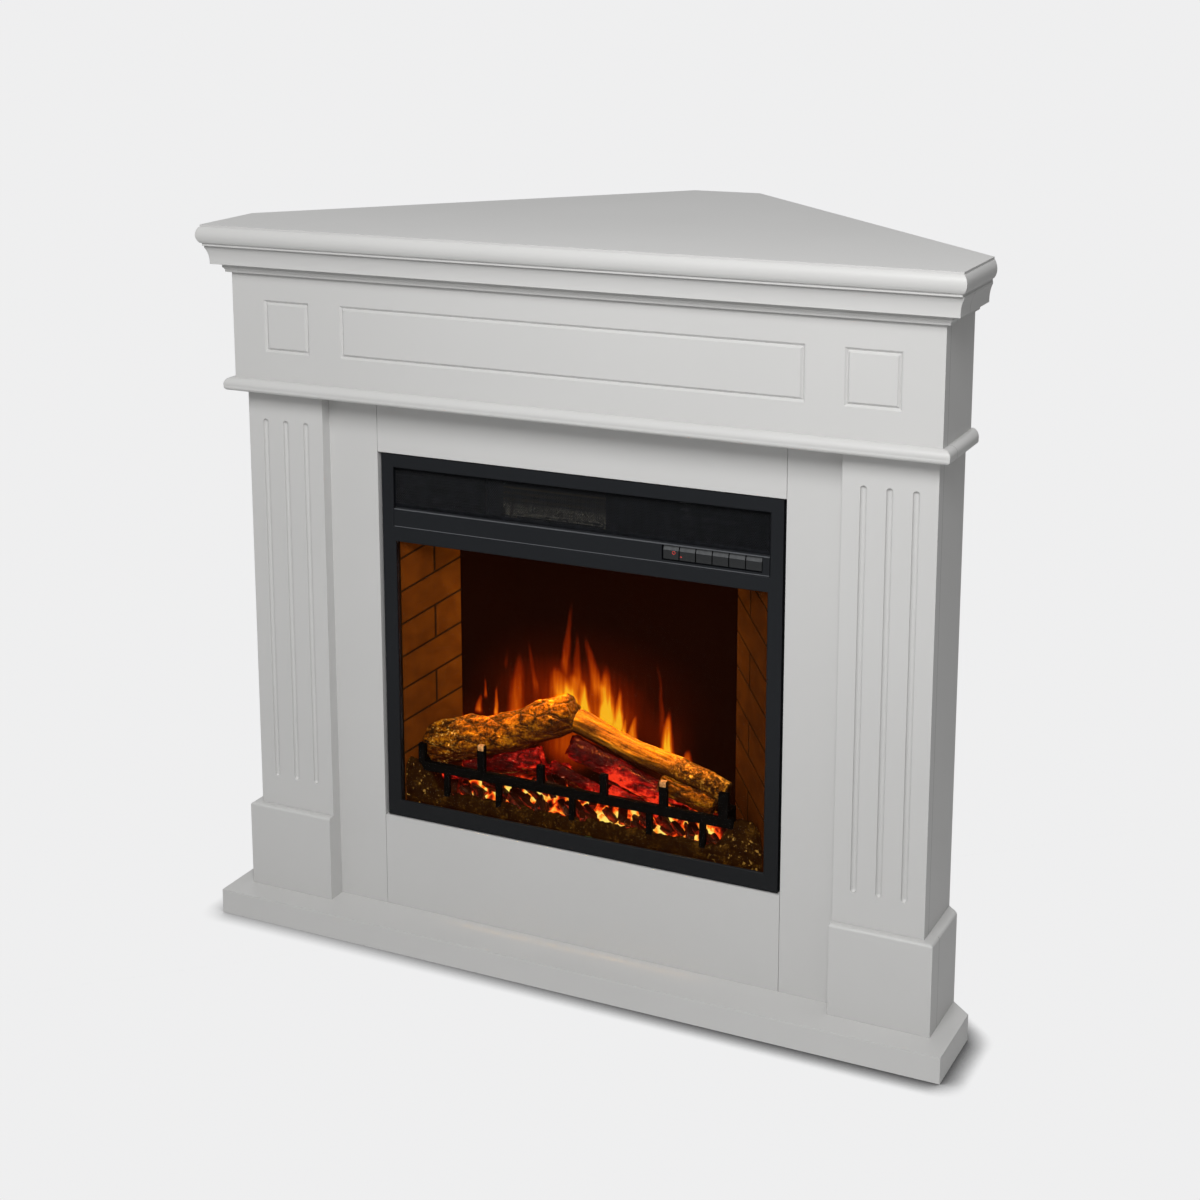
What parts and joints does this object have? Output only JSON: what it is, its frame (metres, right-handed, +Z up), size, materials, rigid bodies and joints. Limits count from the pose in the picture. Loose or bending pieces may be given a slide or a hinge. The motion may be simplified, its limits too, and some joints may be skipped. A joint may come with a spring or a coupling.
{
  "type": "corner fireplace",
  "caption": "Free-standing corner mantel in white painted board with a black electric fire insert; press keys, flame rotor and blower wheel move.",
  "frame": {"origin": "centre of the overall box at floor level", "axes": "+X along the front to the viewer's right, +Y from the front to the room corner, +Z up"},
  "size_m": [1.054, 0.603, 1],
  "materials": {
    "painted_board": "satin off-white paint on fibreboard",
    "zinc_screw": "zinc plated",
    "black_frame": "satin near-black powder coat",
    "black_mesh": "black woven steel screen",
    "amber_glass": "amber tinted glass",
    "case_steel": "plain zinc-coated sheet steel",
    "black_rubber": "moulded black",
    "brick_liner": "moulded brick pattern",
    "dark_screen": "dark translucent screen",
    "ember_resin": "translucent moulded embers",
    "cast_grate": "black",
    "log_resin": "moulded bark",
    "circuit_board": "circuit board",
    "bright_reflector": "bright",
    "motor_plastic": "moulded",
    "bearing_metal": "plain",
    "blower_metal": "bare",
    "motor_black": "black",
    "heater_ceramic": "ceramic and metal fins",
    "gloss_key": "gloss black"
  },
  "bodies": {
    "mantel": {"top_shelf": "painted_board", "crown_front": "painted_board", "crown_left": "painted_board", "crown_right": "painted_board", "frieze_board": "painted_board", "frieze_backer": "painted_board", "frieze_return_left": "painted_board", "frieze_return_right": "painted_board", "bead_front": "painted_board", "bead_left": "painted_board", "bead_right": "painted_board", "pilaster_left": "painted_board", "pilaster_right": "painted_board", "side_panel_left": "painted_board", "side_panel_right": "painted_board", "plinth_left": "painted_board", "plinth_right": "painted_board", "plinth_return_left": "painted_board", "plinth_return_right": "painted_board", "infill_panel_left": "painted_board", "infill_panel_right": "painted_board", "header_panel": "painted_board", "lower_panel": "painted_board", "base_board": "painted_board", "insert_shelf": "painted_board", "shelf_uprights": "painted_board", "rear_post": "painted_board", "wall_rails": "painted_board", "assembly_screws": "zinc_screw", "trim_frame": "black_frame", "control_fascia": "black_frame", "vent_mesh": "black_mesh", "front_glass": "amber_glass", "fire_case": "case_steel", "rear_cover": "case_steel", "divider_plate": "case_steel", "cable_gland": "black_rubber", "brick_panel_left": "brick_liner", "brick_panel_right": "brick_liner", "flame_screen": "dark_screen", "ember_bed": "ember_resin", "grate": "cast_grate", "log_left": "log_resin", "log_right": "log_resin", "under_logs": "log_resin", "led_board": "circuit_board", "control_board": "circuit_board", "rotor_motor": "motor_plastic", "shaft_bearings": "bearing_metal", "blower_duct": "case_steel", "blower_motor": "motor_black", "heater_element": "heater_ceramic"},
    "flame_rotor": {"flame_rotor": "bright_reflector"},
    "blower_wheel": {"blower_wheel": "blower_metal"},
    "button_1": {"button_1": "gloss_key"},
    "button_2": {"button_2": "gloss_key"},
    "button_3": {"button_3": "gloss_key"},
    "button_4": {"button_4": "gloss_key"},
    "button_5": {"button_5": "gloss_key"},
    "button_6": {"button_6": "gloss_key"}
  },
  "joints": [
    {"name": "button_1_press", "type": "slide", "parent": "mantel", "child": "button_1", "axis": [0, 1, 0], "range_m": [0, 0.0012], "stiffness_N_per_m": 800},
    {"name": "button_2_press", "type": "slide", "parent": "mantel", "child": "button_2", "axis": [0, 1, 0], "range_m": [0, 0.0012], "stiffness_N_per_m": 800},
    {"name": "button_3_press", "type": "slide", "parent": "mantel", "child": "button_3", "axis": [0, 1, 0], "range_m": [0, 0.0012], "stiffness_N_per_m": 800},
    {"name": "button_4_press", "type": "slide", "parent": "mantel", "child": "button_4", "axis": [0, 1, 0], "range_m": [0, 0.0012], "stiffness_N_per_m": 800},
    {"name": "button_5_press", "type": "slide", "parent": "mantel", "child": "button_5", "axis": [0, 1, 0], "range_m": [0, 0.0012], "stiffness_N_per_m": 800},
    {"name": "button_6_press", "type": "slide", "parent": "mantel", "child": "button_6", "axis": [0, 1, 0], "range_m": [0, 0.0012], "stiffness_N_per_m": 800},
    {"name": "flame_rotor_spin", "type": "hinge", "parent": "mantel", "child": "flame_rotor", "pos_m": [0, -0.0845, 0.217], "axis": [1, 0, 0], "continuous": true},
    {"name": "blower_spin", "type": "hinge", "parent": "mantel", "child": "blower_wheel", "pos_m": [-0.039, -0.1305, 0.64], "axis": [1, 0, 0], "continuous": true}
  ]
}
